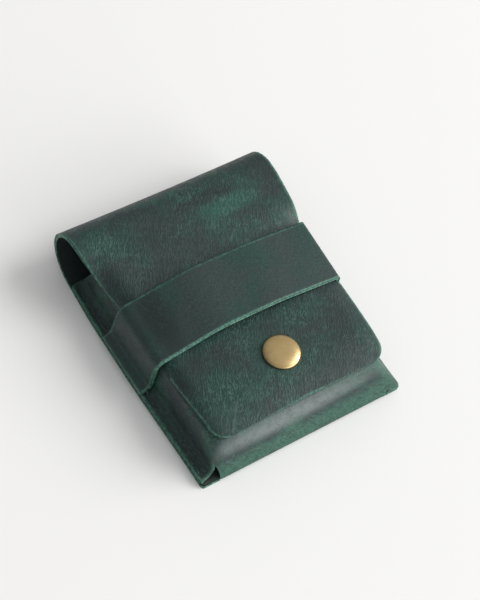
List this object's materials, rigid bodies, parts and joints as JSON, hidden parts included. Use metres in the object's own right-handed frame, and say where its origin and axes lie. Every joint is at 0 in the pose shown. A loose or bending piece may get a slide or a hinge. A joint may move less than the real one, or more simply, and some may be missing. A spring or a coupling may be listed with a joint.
{
  "type": "card holder",
  "caption": "Leather card holder with a wrap-over flap, a keeper band across it and a round press stud, lying closed on its back.",
  "frame": {"origin": "the middle of the holder's box on the surface that it lies on, back down", "axes": "+Y along the length, towards the rounded top fold; +Z through the thickness, from the back panel out through the flap; +X across the width, to the right when the flap faces the viewer and the fold is up"},
  "size_m": [0.078, 0.097, 0.0235],
  "materials": {
    "leather": "waxed pull-up leather, satin",
    "band_leather": "waxed pull-up leather, smooth satin",
    "thread": "waxed thread",
    "cap_brass": "satin",
    "brass": "satin"
  },
  "bodies": {
    "holder": {"back_panel": "leather", "front_pocket": "leather", "bottom_gusset": "leather", "keeper_band": "band_leather", "stitching_left": "thread", "stitching_right": "thread", "snap_stud": "brass", "snap_post": "brass"},
    "fold_1": {"top_fold_1": "leather"},
    "fold_2": {"top_fold_2": "leather"},
    "fold_3": {"top_fold_3": "leather"},
    "fold_4": {"top_fold_4": "leather"},
    "fold_5": {"top_fold_5": "leather"},
    "flap": {"flap": "leather", "snap_cap": "cap_brass", "snap_socket": "brass", "snap_spring": "brass"}
  },
  "joints": [
    {"name": "fold_bend_1", "type": "hinge", "parent": "holder", "child": "fold_1", "pos_m": [0, 0.04012, 0.00038], "axis": [-1, 0, 0], "range_deg": [0, 30]},
    {"name": "fold_bend_2", "type": "hinge", "parent": "fold_1", "child": "fold_2", "pos_m": [0, 0.04519, 0.00331], "axis": [-1, 0, 0], "range_deg": [0, 30]},
    {"name": "fold_bend_3", "type": "hinge", "parent": "fold_2", "child": "fold_3", "pos_m": [0, 0.04811, 0.00838], "axis": [-1, 0, 0], "range_deg": [0, 30]},
    {"name": "fold_bend_4", "type": "hinge", "parent": "fold_3", "child": "fold_4", "pos_m": [0, 0.04811, 0.01422], "axis": [-1, 0, 0], "range_deg": [0, 30]},
    {"name": "fold_bend_5", "type": "hinge", "parent": "fold_4", "child": "fold_5", "pos_m": [0, 0.04519, 0.01929], "axis": [-1, 0, 0], "range_deg": [0, 30]},
    {"name": "flap_open", "type": "hinge", "parent": "fold_5", "child": "flap", "pos_m": [0, 0.04012, 0.02221], "axis": [-1, 0, 0], "range_deg": [0, 30]}
  ],
  "couplings": [
    {"joint": "fold_bend_1", "follows": "flap_open", "ratio": 1},
    {"joint": "fold_bend_2", "follows": "flap_open", "ratio": 1},
    {"joint": "fold_bend_3", "follows": "flap_open", "ratio": 1},
    {"joint": "fold_bend_4", "follows": "flap_open", "ratio": 1},
    {"joint": "fold_bend_5", "follows": "flap_open", "ratio": 1}
  ]
}
